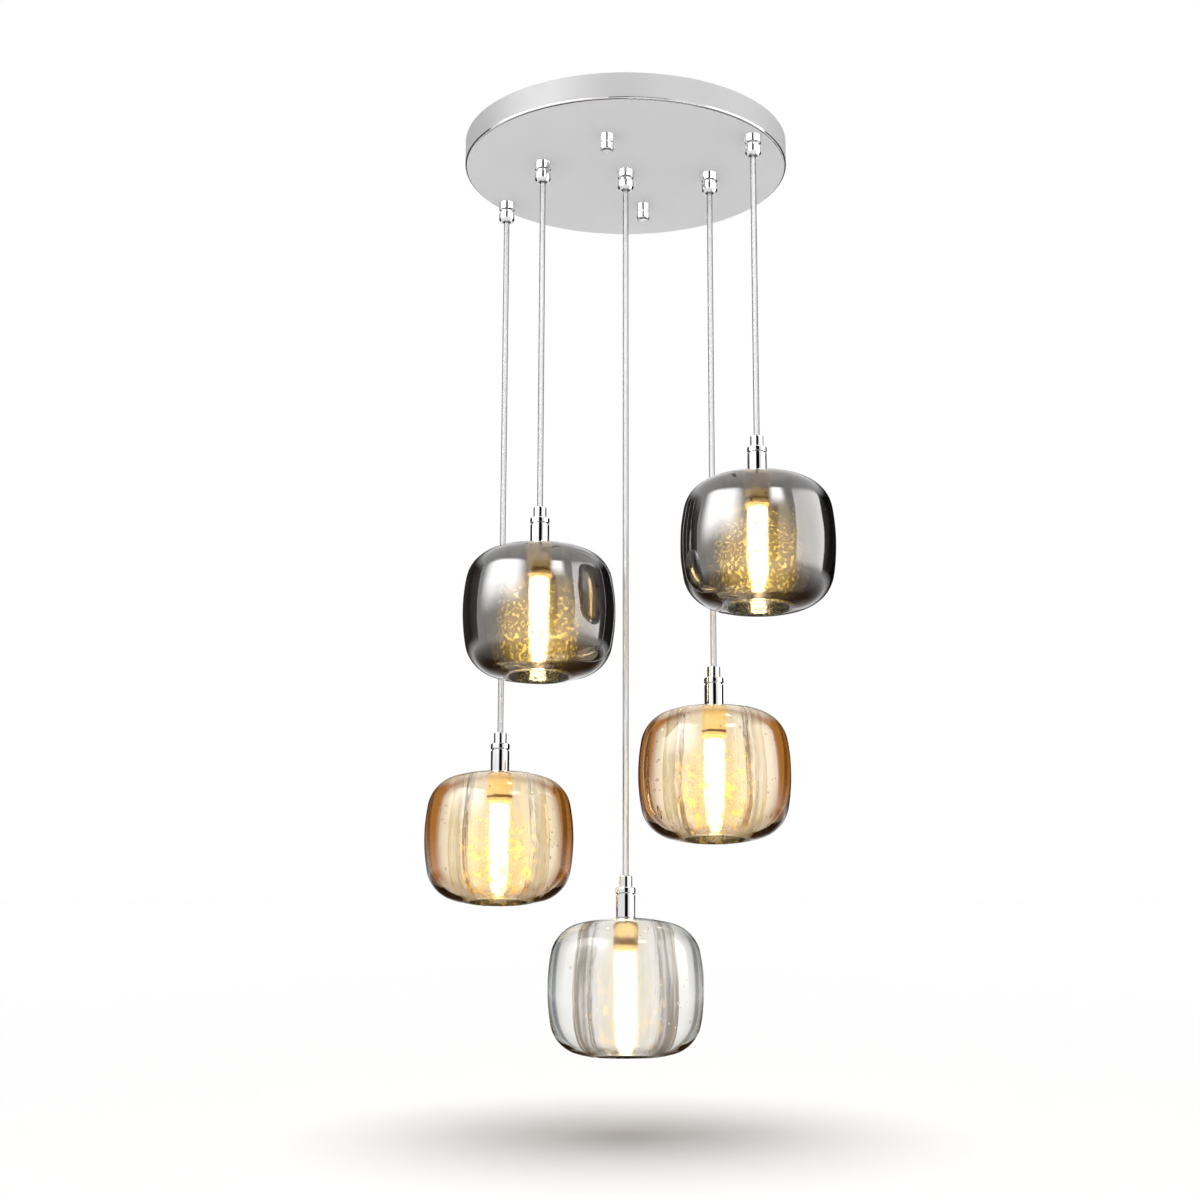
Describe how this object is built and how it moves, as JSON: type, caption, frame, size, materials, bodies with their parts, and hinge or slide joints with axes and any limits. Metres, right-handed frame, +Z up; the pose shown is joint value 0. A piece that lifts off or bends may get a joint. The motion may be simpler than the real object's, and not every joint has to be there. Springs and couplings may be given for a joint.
{
  "type": "cluster pendant",
  "caption": "Cluster pendant ceiling light: thick smoke, amber and clear glass drum shades on straight cables of different lengths under a round chrome canopy.",
  "frame": {"origin": "middle of the canopy's rim, in the plane of the ceiling", "axes": "+Z up to the ceiling, +X to the right and +Y to the back, seen from the front"},
  "size_m": [0.324, 0.266, 0.7475],
  "materials": {
    "satin_chrome": "satin",
    "polished_chrome": "polished",
    "zinc_steel": "zinc plated",
    "brass": "bright",
    "block_plastic": "matte",
    "lead_insulation": "smooth",
    "nylon": "smooth",
    "clear_cable": "clear jacket over bright braid",
    "smoke_glass": "clear smoke tint, polished",
    "amber_glass": "clear amber tint, polished",
    "clear_glass": "clear, polished",
    "silicone": "matte",
    "ceramic": "fired ceramic",
    "lamp_glass": "frosted"
  },
  "bodies": {
    "ceiling_part": {"canopy": "satin_chrome", "ceiling_bracket": "zinc_steel", "bracket_studs": "zinc_steel", "bracket_stud_nuts": "zinc_steel", "cap_nuts": "polished_chrome", "earth_screw": "brass", "terminal_block": "block_plastic", "supply_leads": "lead_insulation", "canopy_glands": "polished_chrome", "gland_locknuts": "zinc_steel"},
    "amber_left_grip": {"amber_left_grip_ball": "nylon"},
    "amber_left_cable": {"amber_left_cord": "clear_cable"},
    "amber_left_pendant": {"amber_left_cord_cap": "polished_chrome", "amber_left_holder_collar": "polished_chrome", "amber_left_holder_tube": "polished_chrome", "amber_left_top_gasket": "silicone", "amber_left_glass_shade": "amber_glass", "amber_left_shade_nut": "polished_chrome", "amber_left_lamp_socket": "ceramic"},
    "amber_left_bulb_body": {"amber_left_bulb": "lamp_glass"},
    "smoke_left_grip": {"smoke_left_grip_ball": "nylon"},
    "smoke_left_cable": {"smoke_left_cord": "clear_cable"},
    "smoke_left_pendant": {"smoke_left_cord_cap": "polished_chrome", "smoke_left_holder_collar": "polished_chrome", "smoke_left_holder_tube": "polished_chrome", "smoke_left_top_gasket": "silicone", "smoke_left_glass_shade": "smoke_glass", "smoke_left_shade_nut": "polished_chrome", "smoke_left_lamp_socket": "ceramic"},
    "smoke_left_bulb_body": {"smoke_left_bulb": "lamp_glass"},
    "clear_middle_grip": {"clear_middle_grip_ball": "nylon"},
    "clear_middle_cable": {"clear_middle_cord": "clear_cable"},
    "clear_middle_pendant": {"clear_middle_cord_cap": "polished_chrome", "clear_middle_holder_collar": "polished_chrome", "clear_middle_holder_tube": "polished_chrome", "clear_middle_top_gasket": "silicone", "clear_middle_glass_shade": "clear_glass", "clear_middle_shade_nut": "polished_chrome", "clear_middle_lamp_socket": "ceramic"},
    "clear_middle_bulb_body": {"clear_middle_bulb": "lamp_glass"},
    "amber_right_grip": {"amber_right_grip_ball": "nylon"},
    "amber_right_cable": {"amber_right_cord": "clear_cable"},
    "amber_right_pendant": {"amber_right_cord_cap": "polished_chrome", "amber_right_holder_collar": "polished_chrome", "amber_right_holder_tube": "polished_chrome", "amber_right_top_gasket": "silicone", "amber_right_glass_shade": "amber_glass", "amber_right_shade_nut": "polished_chrome", "amber_right_lamp_socket": "ceramic"},
    "amber_right_bulb_body": {"amber_right_bulb": "lamp_glass"},
    "smoke_right_grip": {"smoke_right_grip_ball": "nylon"},
    "smoke_right_cable": {"smoke_right_cord": "clear_cable"},
    "smoke_right_pendant": {"smoke_right_cord_cap": "polished_chrome", "smoke_right_holder_collar": "polished_chrome", "smoke_right_holder_tube": "polished_chrome", "smoke_right_top_gasket": "silicone", "smoke_right_glass_shade": "smoke_glass", "smoke_right_shade_nut": "polished_chrome", "smoke_right_lamp_socket": "ceramic"},
    "smoke_right_bulb_body": {"smoke_right_bulb": "lamp_glass"}
  },
  "joints": [
    {"name": "amber_left_swing_front_back", "type": "hinge", "parent": "ceiling_part", "child": "amber_left_grip", "pos_m": [-0.10201, 0.066, -0.033], "axis": [1, 0, 0], "range_deg": [-4, 8]},
    {"name": "amber_left_swing_sideways", "type": "hinge", "parent": "amber_left_grip", "child": "amber_left_cable", "pos_m": [-0.10201, 0.066, -0.033], "axis": [0, 1, 0], "range_deg": [-7, 8]},
    {"name": "amber_left_height", "type": "slide", "parent": "amber_left_cable", "child": "amber_left_pendant", "axis": [0, 0, 1], "range_m": [0, 0.055], "deforming": ["amber_left_cord"]},
    {"name": "amber_left_bulb_pull", "type": "slide", "parent": "amber_left_pendant", "child": "amber_left_bulb_body", "axis": [0, 0, -1], "range_m": [0, 0.092]},
    {"name": "smoke_left_swing_front_back", "type": "hinge", "parent": "ceiling_part", "child": "smoke_left_grip", "pos_m": [-0.06815, -0.01598, -0.033], "axis": [1, 0, 0], "range_deg": [-8, 4]},
    {"name": "smoke_left_swing_sideways", "type": "hinge", "parent": "smoke_left_grip", "child": "smoke_left_cable", "pos_m": [-0.06815, -0.01598, -0.033], "axis": [0, 1, 0], "range_deg": [-0.9, 8]},
    {"name": "smoke_left_height", "type": "slide", "parent": "smoke_left_cable", "child": "smoke_left_pendant", "axis": [0, 0, 1], "range_m": [0, 0.19], "deforming": ["smoke_left_cord"]},
    {"name": "smoke_left_bulb_pull", "type": "slide", "parent": "smoke_left_pendant", "child": "smoke_left_bulb_body", "axis": [0, 0, -1], "range_m": [0, 0.092]},
    {"name": "clear_middle_swing_front_back", "type": "hinge", "parent": "ceiling_part", "child": "clear_middle_grip", "pos_m": [0, 0, -0.033], "axis": [1, 0, 0], "range_deg": [-8, 8]},
    {"name": "clear_middle_swing_sideways", "type": "hinge", "parent": "clear_middle_grip", "child": "clear_middle_cable", "pos_m": [0, 0, -0.033], "axis": [0, 1, 0], "range_deg": [-0.7, 0.9]},
    {"name": "clear_middle_height", "type": "slide", "parent": "clear_middle_cable", "child": "clear_middle_pendant", "axis": [0, 0, 1], "range_m": [0, 0.052], "deforming": ["clear_middle_cord"]},
    {"name": "clear_middle_bulb_pull", "type": "slide", "parent": "clear_middle_pendant", "child": "clear_middle_bulb_body", "axis": [0, 0, -1], "range_m": [0, 0.092]},
    {"name": "amber_right_swing_front_back", "type": "hinge", "parent": "ceiling_part", "child": "amber_right_grip", "pos_m": [0.06974, 0.00598, -0.033], "axis": [1, 0, 0], "range_deg": [-2.8, 8]},
    {"name": "amber_right_swing_sideways", "type": "hinge", "parent": "amber_right_grip", "child": "amber_right_cable", "pos_m": [0.06974, 0.00598, -0.033], "axis": [0, 1, 0], "range_deg": [-8, 0.7]},
    {"name": "amber_right_height", "type": "slide", "parent": "amber_right_cable", "child": "amber_right_pendant", "axis": [0, 0, 1], "range_m": [0, 0.055], "deforming": ["amber_right_cord"]},
    {"name": "amber_right_bulb_pull", "type": "slide", "parent": "amber_right_pendant", "child": "amber_right_bulb_body", "axis": [0, 0, -1], "range_m": [0, 0.092]},
    {"name": "smoke_right_swing_front_back", "type": "hinge", "parent": "ceiling_part", "child": "smoke_right_grip", "pos_m": [0.10201, -0.066, -0.033], "axis": [1, 0, 0], "range_deg": [-8, 2.8]},
    {"name": "smoke_right_swing_sideways", "type": "hinge", "parent": "smoke_right_grip", "child": "smoke_right_cable", "pos_m": [0.10201, -0.066, -0.033], "axis": [0, 1, 0], "range_deg": [-8, 8]},
    {"name": "smoke_right_height", "type": "slide", "parent": "smoke_right_cable", "child": "smoke_right_pendant", "axis": [0, 0, 1], "range_m": [0, 0.15], "deforming": ["smoke_right_cord"]},
    {"name": "smoke_right_bulb_pull", "type": "slide", "parent": "smoke_right_pendant", "child": "smoke_right_bulb_body", "axis": [0, 0, -1], "range_m": [0, 0.092]}
  ]
}
